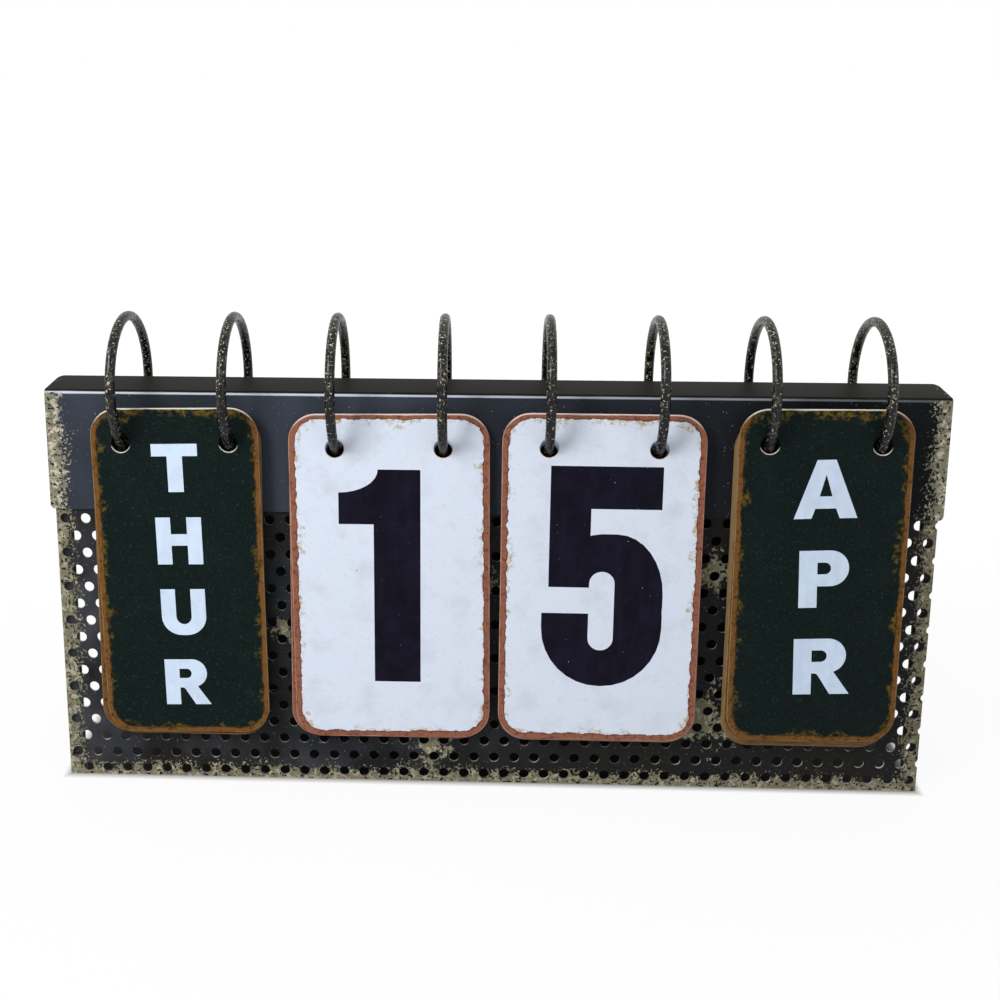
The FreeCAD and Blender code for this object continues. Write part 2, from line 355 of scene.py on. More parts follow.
@dataclass(frozen=True)
class PunchedEnamel:
    """The same enamel on punched sheet, duller and browner, rubbed through to patina where hands and tables rub, with a
    painted sheen towards its left end.

    The hems' inner plies stay dark, and show so through the holes in front of them.
    """

    ground: str = "#141719"
    # The grey is a painted sheen that lies towards the left end.
    grey: str = "#43464d"
    brown: str = "#1a1917"
    dust: str = "#5b5c58"
    patina: str = "#7d7963"
    pale: str = "#aca78f"
    dark: str = "#101112"

    def material(self, half_width: float, edge_reach: float, foot_reach: float,
                 worn_spots: Sequence[tuple[float, float, float]]) -> bpy.types.Material:
        """Makes the front panel's enamel.

        Args:
            half_width: half the panel's width in mm.
            edge_reach: how far the patina reaches in from the sides in mm.
            foot_reach: how far it reaches up from the foot in mm.
            worn_spots: X, Z and reach of the patches that the tags' corners have rubbed, in mm.

        Returns:
            The material.
        """
        coat = Surface("satin_enamel_on_punched_steel", self.ground, 0.45, Specular_IOR_Level=0.1)
        # Painted sheen: blots of grey towards the left end stand in for the reflection of light from the left.
        left = coat.ramp(coat.x, half_width * 0.4, -half_width)
        coat.cover(coat.both(left, coat.blots(24.0, 0.4, 0.6, detail=2.0, shift=3.0)), self.grey, 0.42)
        coat.cover(coat.blots(38.0, 0.42, 0.62, detail=3.0, shift=8.0), self.brown, 0.5)
        coat.cover(coat.blots(0.8, 0.66, 0.72, detail=2.0, shift=31.0), self.dust, 0.5, rise=0.01)
        for x, z, reach in worn_spots:
            spot = coat.add("ShaderNodeCombineXYZ", {0: x, 2: z})
            flat = coat.add("ShaderNodeCombineXYZ", {0: coat.x, 2: coat.z})
            away = coat.add("ShaderNodeVectorMath", {0: flat, 1: spot}, 1, operation="DISTANCE")
            wander = coat.calc("MULTIPLY_ADD", coat.blots(7.0, 0.3, 0.7, detail=2.0, shift=x), reach, away)
            patch = coat.spray(coat.ramp(wander, reach * 0.6, reach * 1.7, 0.85, 0.0), 1.2, shift=15.0)
            coat.cover(patch, self.patina, 0.7, rise=0.03)
            coat.cover(coat.both(patch, coat.blots(1.4, 0.54, 0.6, detail=3.0, shift=25.0)), self.pale, 0.7, rise=0.01)
        inside = coat.from_sides(half_width)
        hem = coat.stored("panel_hem")
        for distance, reach in ((coat.z, foot_reach), (inside, edge_reach)):
            distance = coat.calc("MULTIPLY_ADD", hem, 3 * reach, distance)
            dress_patina(coat, distance, reach, self.patina, self.pale, self.dark)
        return coat.finish()


@dataclass(frozen=True)
class PunchedRim:
    """The burnished wall of a punched hole: enamel rubbed through to dull steel, which catches light from above."""

    ground: str = "#8f8e89"
    bright: str = "#cfcec8"
    dark: str = "#3a3a3a"

    def material(self) -> bpy.types.Material:
        """Makes the rim's finish."""
        coat = Surface("burnished_punched_rim", self.ground, 0.38)
        coat.cover(coat.blots(4.0, 0.5, 0.62, detail=3.0, shift=11.0), self.bright, 0.3)
        coat.cover(coat.blots(9.0, 0.5, 0.6, detail=3.0, shift=37.0), self.dark, 0.45)
        return coat.finish()


@dataclass(frozen=True)
class BlackenedWire:
    """Glossy black enamel on bent steel wire, dabbed with ochre and cream that lie thickest on top of the rings."""

    ground: str = "#090909"
    ochre: str = "#45402f"
    cream: str = "#c3beac"
    shine: str = "#16181c"

    def material(self, low_z: float, high_z: float) -> bpy.types.Material:
        """Makes the rings' finish.

        Args:
            low_z: height in mm where the dabs thin out.
            high_z: height in mm of the rings' tops.

        Returns:
            The material.
        """
        coat = Surface("blackened_steel_wire", self.ground, 0.22, Specular_IOR_Level=0.25)
        coat.cover(coat.blots(2.0, 0.5, 0.6, detail=3.0, shift=3.0), self.shine, 0.3)
        height = coat.ramp(coat.z, low_z, high_z, 0.0, 0.06)
        for size, base, colour, shift in ((1.3, 0.6, self.ochre, 13.0), (0.7, 0.652, self.cream, 29.0)):
            moved = coat.add("ShaderNodeVectorMath", {0: coat.place, 1: (shift, shift, shift)})
            noise = coat.add("ShaderNodeTexNoise", {"Vector": moved, "Scale": 1 / size, "Detail": 4.0})
            raised = coat.calc("ADD", noise, height)
            dabs = coat.ramp(raised, base, base + 0.04)
            coat.cover(dabs, colour, 0.55, rise=0.03)
        return coat.finish()


@dataclass(frozen=True)
class TagEnamel:
    """Printed enamel on a steel tag, rusted round its rim.

    Ground is the face, rust the rim, edge a painted highlight along its outer line, stain what bleeds inwards,
    and fleck the dust. The pale line along its top and under its eyelets is a painted highlight too.
    """

    name: str
    ground: str
    mottle: str
    fleck: str
    rust: str
    rust_dark: str
    # The edge colour and the one after it are painted highlights: a pale line round the rim, and a pale line along the
    # top and under the eyelets.
    edge: str
    rim_highlight: str
    stain: str
    rust_reach: float
    top_thinning: float
    stain_reach: float
    grain: float
    roughness: float

    def material(self, top: float) -> bpy.types.Material:
        """Makes the face's finish, which reads the tag's place and its distances from rim and eyelets.

        Args:
            top: height in mm of the tag's top edge above its ring holes.

        Returns:
            The material.
        """
        coat = Surface(self.name, self.ground, self.roughness, "tag_place", Specular_IOR_Level=0.06)
        rim = coat.stored("tag_rim")
        upper = coat.ramp(coat.y, top - 4.5, top - 1.5)
        coat.cover(coat.blots(9.0, 0.5, 0.72, detail=5.0, shift=4.0), self.mottle, self.roughness + 0.06)
        coat.cover(coat.blots(0.8, 0.56, 1.1, detail=4.0, shift=77.0), self.fleck, 0.5)
        coat.cover(coat.blots(0.6, 0.74 - self.grain, 0.8 - self.grain, detail=2.0, shift=17.0), self.fleck, 0.5)
        coat.cover(coat.blots(2.4, 0.76, 0.79, detail=3.0, shift=71.0), self.rust_dark, 0.6)
        stain = coat.near(rim, self.stain_reach, self.stain_reach * 1.7, 8.0, soft=1.2, shift=23.0)
        coat.cover(coat.both(stain, coat.blots(1.6, 0.46, 0.62, detail=5.0, shift=53.0)), self.stain, 0.62)
        band = coat.calc("MULTIPLY_ADD", upper, self.top_thinning, rim)
        coat.cover(coat.near(band, self.rust_reach + 0.15, 0.9, 3.2, soft=0.12, shift=41.0),
                   self.rust_dark, 0.6, rise=-0.03)
        rust = coat.near(band, self.rust_reach - 0.15, 0.9, 3.2, soft=0.15, shift=41.0)
        coat.cover(rust, self.rust, 0.58, rise=-0.02)
        coat.cover(coat.both(rust, coat.blots(1.4, 0.5, 0.66, detail=4.0, shift=63.0)), self.rust_dark, 0.65)
        # Painted highlight: a thin pale line round the whole rim, where its edge catches light.
        coat.cover(coat.near(rim, 0.3, 0.35, 6.0, soft=0.2, shift=90.0), self.edge, 0.4)
        # Painted highlight: a pale line along the top rim, where the top edge catches light.
        coat.cover(coat.both(upper, coat.near(rim, 0.5, 0.3, 7.0, soft=0.2, shift=61.0)), self.rim_highlight, 0.4)
        # Painted highlight: the same pale colour along the lower side of each eyelet's rim, which catches light from
        # above.
        eyelet = coat.stored("tag_eyelet")
        lower = coat.ramp(coat.y, -0.6, -1.6)
        coat.cover(coat.both(lower, coat.near(eyelet, 0.3, 0.12, 3.0, soft=0.12, shift=35.0)), self.rim_highlight, 0.4)
        return coat.finish()


@dataclass(frozen=True)
class TagInk:
    """Screen-printed letters and numerals: a thin even ink, lightly scratched."""

    name: str
    ground: str
    mottle: str
    scratch: str
    roughness: float

    def material(self) -> bpy.types.Material:
        """Makes the ink's finish."""
        ink = Surface(self.name, self.ground, self.roughness, "tag_place", Specular_IOR_Level=0.06)
        ink.cover(ink.blots(7.0, 0.45, 0.7, detail=5.0, shift=6.0), self.mottle, self.roughness + 0.05)
        ink.cover(ink.blots(3.4, 0.5, 0.75, detail=3.0, shift=33.0, stretch=(1.0, 0.12, 1.0)), self.mottle, 0.45)
        ink.cover(ink.blots(1.2, 0.72, 0.75, detail=3.0, shift=19.0), self.scratch, 0.5)
        return ink.finish()


@dataclass(frozen=True)
class CutEdge:
    """The sheared edge of a painted sheet, where a thin line of aged metal shows."""

    name: str
    ground: str
    spots: str

    def material(self) -> bpy.types.Material:
        """Makes the edge's finish."""
        coat = Surface(self.name, self.ground, 0.5)
        coat.cover(coat.blots(1.8, 0.5, 0.6, detail=4.0, shift=9.0), self.spots, 0.6)
        return coat.finish()


# In each enamel the edge colour and the pale colour after it are painted highlights.
DARK_ENAMEL = TagEnamel(
    name="speckled_dark_tag_enamel", ground="#0a1716", mottle="#101c1b", fleck="#33423f", rust="#74502a",
    rust_dark="#4a3216", edge="#8d7452", rim_highlight="#d9d6c8", stain="#64521f", rust_reach=1.7, top_thinning=1.3,
    stain_reach=3.0, grain=0.08, roughness=0.45)
PALE_ENAMEL = TagEnamel(
    name="mottled_pale_tag_enamel", ground="#dfe8f8", mottle="#d3dbea", fleck="#c3c4c8", rust="#93604a",
    rust_dark="#6b3d33", edge="#b78f82", rim_highlight="#e2cdc6", stain="#b9a883", rust_reach=1.9, top_thinning=0.3,
    stain_reach=3.2, grain=0.06, roughness=0.38)
PALE_INK = TagInk("pale_letter_ink", ground="#d6e6fb", mottle="#c9d9ef", scratch="#a8b6ca", roughness=0.42)
DARK_INK = TagInk("dark_numeral_ink", ground="#0e0c18", mottle="#191628", scratch="#bdbccb", roughness=0.4)
DARK_EDGE = CutEdge("rusted_edge_of_dark_tag", "#5f411c", "#7d6236")
PALE_EDGE = CutEdge("rusted_edge_of_pale_tag", "#744a36", "#9a7060")


def corner_points(left: float, low: float, right: float, high: float, round_x: float, round_y: float,
                  steps: int) -> list[Point]:
    """Lists the points of an upright rectangle with elliptical corners, anticlockwise from its upper right.

    Args:
        left: its left side.
        low: its lower side.
        right: its right side.
        high: its upper side.
        round_x: half width of the corner ellipses.
        round_y: half height of the corner ellipses.
        steps: how many straight sides each corner has.

    Returns:
        The points.
    """
    points = []
    corners = ((right - round_x, high - round_y), (left + round_x, high - round_y),
               (left + round_x, low + round_y), (right - round_x, low + round_y))
    for quarter, (x, y) in enumerate(corners):
        for step in range(steps + 1):
            angle = math.pi / 2 * (quarter + step / steps)
            points.append((x + round_x * math.cos(angle), y + round_y * math.sin(angle)))
    return points


@dataclass(frozen=True)
class Shape:
    """One painted or scraped shape of a glyph, as shares of the glyph's height."""

    points: tuple[Point, ...]
    paints: bool = True


def patch(*points: Point) -> Shape:
    """Makes a shape with straight sides."""
    return Shape(points)


def bar(left: float, low: float, right: float, high: float) -> Shape:
    """Makes an upright rectangle."""
    return Shape(((left, low), (right, low), (right, high), (left, high)))


def bowl(left: float, low: float, right: float, high: float, round_x: float, round_y: float) -> Shape:
    """Makes an upright rectangle with elliptical corners, which takes corner_points' measures."""
    return Shape(tuple(corner_points(left, low, right, high, round_x, round_y, GLYPH_STEPS)))


def cut(shape: Shape) -> Shape:
    """Makes a shape scrape away what lies under it."""
    return replace(shape, paints=False)


def turned(shapes: Sequence[Shape], width: float) -> tuple[Shape, ...]:
    """Turns a glyph upside down within its width."""
    return tuple(replace(shape, points=tuple((width - x, 1 - y) for x, y in shape.points)) for shape in shapes)


def letter_shares() -> dict[str, tuple[Shape, ...]]:
    """Draws the capitals, bold and wide. Every number is a share of a capital's height."""
    stem, rail = 0.305, 0.25
    round_letter = bowl(0, 0, 1.02, 1, 0.5, 0.48)
    round_hollow = cut(bowl(stem, rail, 0.69, 1 - rail, 0.18, 0.24))
    head = (bar(0, 0, stem, 1), bar(0, 0.375, 0.5, 1))
    eye = cut(bar(stem, 0.585, 0.42, 0.79))
    u_turn = (bar(0, 0.4, stem, 1), bar(0.625, 0.4, 0.93, 1), bowl(0, 0, 0.93, 0.9, 0.42, 0.4))
    return {
        "A": (patch((0, 0), (0.37, 1), (0.68, 1), (1.05, 0), (0.758, 0), (0.695, 0.17), (0.355, 0.17),
                    (0.292, 0)), cut(patch((0.42, 0.38), (0.63, 0.38), (0.525, 0.75)))),
        "B": (bar(0, 0, 0.5, 1), bowl(0.1, 0, 0.98, 0.57, 0.3, 0.28), bowl(0.1, 0.45, 0.92, 1, 0.28, 0.27),
              cut(bowl(stem, 0.2, 0.65, 0.385, 0.09, 0.09)), cut(bowl(stem, 0.62, 0.6, 0.8, 0.09, 0.09))),
        "C": (round_letter, round_hollow, cut(bar(0.5, 0.37, 1.1, 0.63))),
        "D": (bar(0, 0, 0.5, 1), bowl(0.1, 0, 1, 1, 0.46, 0.48), cut(bar(stem, rail, 0.5, 1 - rail)),
              cut(bowl(stem, rail, 0.67, 1 - rail, 0.17, 0.25))),
        "E": (bar(0, 0, stem, 1), bar(0, 0, 0.86, rail), bar(0, 0.38, 0.8, 0.62), bar(0, 1 - rail, 0.86, 1)),
        "F": (bar(0, 0, stem, 1), bar(0, 0.35, 0.76, 0.6), bar(0, 1 - rail, 0.84, 1)),
        "G": (round_letter, round_hollow, cut(bar(0.5, 0.45, 1.1, 0.66)), bar(0.52, 0.28, 1.02, 0.5),
              bar(0.74, 0.12, 1.02, 0.5)),
        "H": (bar(0, 0, stem, 1), bar(0.64, 0, 0.945, 1), bar(0, 0.4, 0.945, 0.645)),
        "I": (bar(0, 0, stem, 1),),
        "J": (bowl(0, 0, 0.82, 0.8, 0.4, 0.36), cut(bar(-0.1, 0.4, 0.49, 0.9)),
              cut(bowl(0.31, 0.24, 0.49, 0.9, 0.09, 0.12)), bar(0.49, 0.4, 0.82, 1)),
        "L": (bar(0, 0, stem, 1), bar(0, 0, 0.86, rail)),
        "M": (bar(0, 0, 0.3, 1), bar(0.86, 0, 1.16, 1), patch((0, 1), (0.37, 1), (0.7, 0.1), (0.46, 0.1)),
              patch((0.79, 1), (1.16, 1), (0.7, 0.1), (0.46, 0.1))),
        "N": (bar(0, 0, 0.31, 1), bar(0.73, 0, 1.04, 1), patch((0, 1), (0.34, 1), (1.04, 0), (0.7, 0))),
        "O": (bowl(0, 0, 1.08, 1, 0.53, 0.5), cut(bowl(0.34, rail, 0.74, 1 - rail, 0.2, 0.25))),
        "P": (*head, bowl(0.2, 0.375, 0.83, 1, 0.31, 0.31), eye, cut(bowl(stem, 0.585, 0.53, 0.79, 0.1, 0.102))),
        "R": (*head, bowl(0.2, 0.385, 0.885, 1, 0.31, 0.305),
              patch((stem, 0.42), (0.66, 0.43), (0.95, 0), (0.62, 0), (0.41, 0.35), (0.36, 0.39), (stem, 0.4)),
              eye, cut(bowl(stem, 0.585, 0.56, 0.79, 0.1, 0.102))),
        "S": (bowl(0, 0.4, 0.93, 1, 0.42, 0.3), bowl(0.02, 0, 0.96, 0.6, 0.42, 0.3),
              cut(bowl(0.32, 0.6, 0.64, 0.8, 0.15, 0.1)), cut(bar(0.5, 0.6, 1, 0.69)),
              cut(bowl(0.33, 0.2, 0.64, 0.4, 0.15, 0.1)), cut(bar(-0.1, 0.31, 0.46, 0.4))),
        "T": (bar(0, 0.745, 0.943, 1), bar(0.313, 0, 0.63, 1)),
        "U": (*u_turn, cut(bar(stem, 0.4, 0.625, 1.1)), cut(bowl(stem, 0.24, 0.625, 0.9, 0.16, 0.17))),
        "V": (patch((0, 1), (0.35, 1), (0.54, 0.34), (0.73, 1), (1.08, 1), (0.72, 0), (0.36, 0)),),
        "W": (patch((0, 1), (0.32, 1), (0.47, 0.36), (0.62, 1), (0.86, 1), (1.01, 0.36), (1.16, 1), (1.48, 1),
                    (1.17, 0), (0.87, 0), (0.74, 0.56), (0.61, 0), (0.31, 0)),),
        "Y": (patch((0, 1), (0.37, 1), (0.52, 0.66), (0.67, 1), (1.04, 1), (0.685, 0.4), (0.685, 0),
                    (0.355, 0), (0.355, 0.4)),),
    }


def digit_shares() -> dict[str, tuple[Shape, ...]]:
    """Draws the numerals, heavy and narrow. Every number is a share of a numeral's height."""
    wide, stem, gap = 0.528, 0.206, 0.322

    def hollow(low: float, high: float) -> Shape:
        """Scrapes a numeral's narrow inner space."""
        return cut(bowl(stem, low, gap, high, 0.057, 0.057))

    six = (bowl(0, 0, wide, 1, 0.27, 0.26), hollow(0.166, 0.52), hollow(0.6, 0.834),
           cut(bar(stem + 0.05, 0.62, wide + 0.05, 0.7)), bar(stem - 0.05, 0.52, gap, 0.6),
           bowl(0.1, 0.4, wide, 0.66, 0.2, 0.13), hollow(0.166, 0.5))
    return {
        "0": (bowl(0, 0, wide, 1, 0.27, 0.26), hollow(0.166, 0.834)),
        "1": (bar(0.158, 0, 0.369, 1), bar(0, 0.747, 0.369, 1), cut(bowl(-0.178, 0.893, 0.178, 1.107, 0.178, 0.107))),
        "2": (bowl(0, 0.42, wide, 1, 0.27, 0.26), cut(bar(-0.1, 0.4, gap, 0.64)), hollow(0.5, 0.834),
              patch((0, 0.17), (0, 0.27), (gap, 0.6), (wide, 0.7), (wide, 0.55), (0.27, 0.17)),
              bar(0, 0, wide, 0.19)),
        "3": (bowl(0, 0.44, wide, 1, 0.27, 0.25), bowl(0, 0, wide, 0.56, 0.27, 0.25),
              hollow(0.58, 0.834), hollow(0.166, 0.43),
              cut(bar(-0.1, 0.34, stem, 0.66)), bar(0.16, 0.43, 0.4, 0.58)),
        "4": (bar(0.27, 0, 0.48, 1), bar(0, 0.2, 0.58, 0.37), patch((0, 0.37), (0.25, 1), (0.3, 1), (0.3, 0.8),
                                                                    (0.15, 0.37))),
        "5": (bowl(0.05, 0.1, wide, 0.699, 0.205, 0.275), bowl(0, 0, wide, 0.6, 0.26, 0.27),
              cut(bowl(0.206, 0.168, 0.317, 0.529, 0.055, 0.055)), cut(bar(-0.1, 0.337, 0.206, 0.8)),
              bar(0.028, 0.456, 0.206, 1), bar(0.028, 0.811, 0.511, 1)),
        "6": six,
        "7": (bar(0, 0.81, 0.52, 1), patch((0.29, 0.82), (0.52, 0.9), (0.52, 0.8), (0.33, 0), (0.1, 0))),
        "8": (bowl(0, 0.46, wide, 1, 0.27, 0.24), bowl(0, 0, wide, 0.56, 0.27, 0.25),
              hollow(0.6, 0.85), hollow(0.15, 0.44)),
        "9": turned(six, wide),
    }


@dataclass
class Sheet:
    """A flat sheet cut into triangles, with the finish that each one shows."""

    points: list[Point]
    faces: list[tuple[int, ...]]
    slots: list[int]


def anticlockwise(points: Sequence[Point]) -> list[Point]:
    """Lists a closed outline's points anticlockwise."""
    area = sum(points[step - 1][0] * points[step][1] - points[step][0] * points[step - 1][1]
               for step in range(len(points)))
    return list(points) if area > 0 else list(reversed(points))


def cut_sheet(outline: Sequence[Point], holes: Sequence[Sequence[Point]] = (), paint: Sequence[Shape] = (),
              guides: Sequence[Sequence[Point]] = ()) -> Sheet:
    """Cuts a flat sheet into triangles that follow its outline, its holes and what is printed on it.

    Args:
        outline: the sheet's closed outline in mm.
        holes: closed outlines of its holes.
        paint: printed shapes in mm, in the order in which they are painted or scraped.
        guides: further lines that the triangles' sides have to follow.

    Returns:
        The sheet, with slot 1 where paint lies and slot 0 elsewhere.
    """
    points: list[Vector] = []
    loops: list[list[int]] = []
    for loop in (outline, *holes, *(shape.points for shape in paint)):
        loops.append(list(range(len(points), len(points) + len(loop))))
        points.extend(Vector(point) for point in anticlockwise(loop))
    edges: list[tuple[int, int]] = []
    for line in guides:
        first = len(points)
        points.extend(Vector(point) for point in line)
        edges.extend((first + step, first + step + 1) for step in range(len(line) - 1))
    verts, _, triangles, _, _, sources = delaunay_2d_cdt(points, edges, loops, 0, 1e-4)
    sheet = Sheet([(vert.x, vert.y) for vert in verts], [], [])
    for triangle, source in zip(triangles, sources):
        if 0 not in source or any(0 < index <= len(holes) for index in source):
            continue
        painted = [index - 1 - len(holes) for index in source if index > len(holes)]
        sheet.faces.append(tuple(triangle))
        sheet.slots.append(int(bool(painted) and paint[max(painted)].paints))
    return sheet


def add_object(name: str, data: bpy.types.ID) -> bpy.types.Object:
    """Makes an object and puts it in the scene."""
    thing = bpy.data.objects.new(name, data)
    bpy.context.scene.collection.objects.link(thing)
    return thing


def thicken(name: str, sheet: Sheet, half: Callable[[float, float], float],
            place: Callable[[float, float, float], Vector], finishes: Sequence[bpy.types.Material],
            edge_slot: int) -> bpy.types.Object:
    """Gives a sheet its thickness and puts it in its place.

    Args:
        name: the piece's name.
        sheet: the flat sheet.
        half: half the thickness at a point of the sheet, in mm.
        place: where a point of the sheet goes at a distance from its middle plane, all in mm.
        finishes: the materials of the piece's slots.
        edge_slot: slot of the sheared edges.

    Returns:
        The piece, whose first vertices are the outer side's and then the inner side's.
    """
    count = len(sheet.points)
    verts = [place(x, y, hand * half(x, y)) * MM for hand in (1, -1) for x, y in sheet.points]
    sides = {(face[step - 1], face[step]) for face in sheet.faces for step in range(len(face))}
    walls = [(b, a, a + count, b + count) for a, b in sorted(sides) if (b, a) not in sides]
    inner = [tuple(corner + count for corner in reversed(face)) for face in sheet.faces]
    mesh = bpy.data.meshes.new(name)
    mesh.from_pydata(verts, [], [*sheet.faces, *inner, *walls])
    slots = [*sheet.slots, *([0] * len(inner)), *([edge_slot] * len(walls))]
    mesh.polygons.foreach_set("material_index", slots)
    for finish in finishes:
        mesh.materials.append(finish)
    mesh.shade_smooth()
    mesh.set_sharp_from_angle(angle=math.radians(SHEET_CREASE))
    return add_object(name, mesh)


def store(piece: bpy.types.Object, name: str, values: Sequence[float]) -> None:
    """Stores a number for each vertex of a piece under a name."""
    attribute = piece.data.attributes.new(name, "FLOAT", "POINT")
    attribute.data.foreach_set("value", values)


def ring_points(x: float, y: float, radius: float, steps: int) -> list[Point]:
    """Lists the points of a circle, the first one not repeated."""
    turns = [2 * math.pi * step / steps for step in range(steps)]
    return [(x + radius * math.cos(turn), y + radius * math.sin(turn)) for turn in turns]


def rounded_points(half_width: float, low: float, high: float, radius: float, steps: int) -> list[Point]:
    """Lists the points of an upright rectangle with round corners, anticlockwise from its upper right."""
    return corner_points(-half_width, low, half_width, high, radius, radius, steps)


def grow(name: str, tree: bpy.types.NodeTree, inputs: dict[str, float]) -> bpy.types.Object:
    """Runs a Geometry Nodes tree once and keeps its result as a plain mesh.

    Args:
        name: the new object's name.
        tree: the tree to run.
        inputs: values for the tree's named inputs.

    Returns:
        An object at the origin with no modifiers.
    """
    piece = add_object(name, bpy.data.meshes.new(name + "_seed"))
    modifier = piece.modifiers.new("grow", "NODES")
    modifier.node_group = tree
    for item in tree.interface.items_tree:
        if item.item_type == "SOCKET" and item.in_out == "INPUT":
            modifier[item.identifier] = inputs[item.name]
    evaluated = piece.evaluated_get(bpy.context.evaluated_depsgraph_get())
    mesh = bpy.data.meshes.new_from_object(evaluated)
    piece.modifiers.remove(modifier)
    piece.data = mesh
    return piece


def new_tree(name: str, floats: Sequence[str], counts: Sequence[str]) -> tuple[bpy.types.NodeTree, dict]:
    """Starts a Geometry Nodes tree.

    Args:
        name: the tree's name.
        floats: names of its inputs for sizes and angles.
        counts: names of its inputs for whole numbers.

    Returns:
        The tree, and the socket inside it of each named input.
    """
    tree = bpy.data.node_groups.new(name, "GeometryNodeTree")
    tree.interface.new_socket(name="Geometry", in_out="OUTPUT", socket_type="NodeSocketGeometry")
    for socket in floats:
        tree.interface.new_socket(name=socket, in_out="INPUT", socket_type="NodeSocketFloat")
    for socket in counts:
        tree.interface.new_socket(name=socket, in_out="INPUT", socket_type="NodeSocketInt")
    entry = tree.nodes.new("NodeGroupInput")
    return tree, {socket: entry.outputs[socket] for socket in (*floats, *counts)}


def end_tree(tree: bpy.types.NodeTree, shape: bpy.types.NodeSocket, finish: bpy.types.Material) -> None:
    """Ends a tree with real geometry and its finish."""
    real = add_node(tree, "GeometryNodeRealizeInstances", {0: shape})
    dressed = add_node(tree, "GeometryNodeSetMaterial", {"Geometry": real, "Material": finish})
    add_node(tree, "NodeGroupOutput", {0: dressed})


def wire_ring_tree(finish: bpy.types.Material) -> bpy.types.NodeTree:
    """Builds the tree of a bent wire ring, open by a small gap.

    Args:
        finish: the wire's material.

    Returns:
        The tree.
    """
    tree, given = new_tree("bent_wire_ring", ("Radius", "Wire Radius", "Start", "Sweep"), ("Steps", "Sides"))
    arc = add_node(tree, "GeometryNodeCurveArc", {"Resolution": given["Steps"], "Radius": given["Radius"],
                                                  "Start Angle": given["Start"], "Sweep Angle": given["Sweep"]})
    section = add_node(tree, "GeometryNodeCurvePrimitiveCircle", {"Resolution": given["Sides"],
                                                                  "Radius": given["Wire Radius"]})
    wire = add_node(tree, "GeometryNodeCurveToMesh", {"Curve": arc, "Profile Curve": section,
                                                      "Fill Caps": True})
    end_tree(tree, wire, finish)
    return tree


def punched_sheet_tree(finish: bpy.types.Material) -> bpy.types.NodeTree:
    """Builds the tree of a flat sheet with staggered rows of round holes, centred on the origin.

    Args:
        finish: the sheet's material.

    Returns:
        The tree.
    """
    tree, given = new_tree("punched_sheet", ("Pitch", "Row Pitch", "Hole Radius", "Width", "Height", "Plain Left Of"),
                           ("Columns", "Rows", "Hole Sides"))
    spans = {}
    for name, count, pitch in (("x", "Columns", "Pitch"), ("y", "Rows", "Row Pitch")):
        steps = calc(tree, "SUBTRACT", given[count], 1.0)
        spans[name] = calc(tree, "MULTIPLY", steps, given[pitch])
    lattice = add_node(tree, "GeometryNodeMeshGrid", {"Size X": spans["x"], "Size Y": spans["y"],
                                                      "Vertices X": given["Columns"],
                                                      "Vertices Y": given["Rows"]})
    index = add_node(tree, "GeometryNodeInputIndex")
    row = calc(tree, "MODULO", index, given["Rows"])
    odd = calc(tree, "MODULO", row, 2.0)
    half = calc(tree, "MULTIPLY", given["Pitch"], 0.5)
    shift = calc(tree, "MULTIPLY", odd, half)
    offset = add_node(tree, "ShaderNodeCombineXYZ", {"X": shift})
    places = add_node(tree, "GeometryNodeSetPosition", {"Geometry": lattice, "Offset": offset})
    where = tree.nodes.new("ShaderNodeSeparateXYZ")
    tree.links.new(add_node(tree, "GeometryNodeInputPosition"), where.inputs[0])
    plain = calc(tree, "LESS_THAN", where.outputs[0], given["Plain Left Of"])
    places = add_node(tree, "GeometryNodeDeleteGeometry", {"Geometry": places, "Selection": plain}, domain="POINT")
    hole = add_node(tree, "GeometryNodeCurvePrimitiveCircle", {"Resolution": given["Hole Sides"],
                                                               "Radius": given["Hole Radius"]})
    holes = add_node(tree, "GeometryNodeInstanceOnPoints", {"Points": places, "Instance": hole})
    holes = add_node(tree, "GeometryNodeRealizeInstances", {0: holes})
    border = add_node(tree, "GeometryNodeCurvePrimitiveQuadrilateral", {"Width": given["Width"],
                                                                       "Height": given["Height"]})
    join = tree.nodes.new("GeometryNodeJoinGeometry")
    for curves in (border, holes):
        tree.links.new(curves, join.inputs[0])
    sheet = add_node(tree, "GeometryNodeFillCurve", {0: join.outputs[0]})
    end_tree(tree, sheet, finish)
    return tree


@dataclass
class Tent:
    """The stand's two leaning slopes, in millimetres."""

    lean: float = 9.0
    slope_length: float = 125.0
    top_width: float = 16.0
    sheet: float = 0.8
    ridge_y: float = 0.0

    def __post_init__(self) -> None:
        """Works out the lean's sine and cosine and the stand's height."""
        self.sine = math.sin(math.radians(self.lean))
        self.cosine = math.cos(math.radians(self.lean))
        self.height = self.slope_length * self.cosine

    def point(self, side: Side, x: float, drop: float, out: float) -> Vector:
        """Finds a point that lies down a slope from its fold and out from its face."""
        y = side.value * (self.top_width / 2 + drop * self.sine + out * self.cosine)
        return Vector((x, self.ridge_y + y, max(0.0, self.height - drop * self.cosine + out * self.sine)))


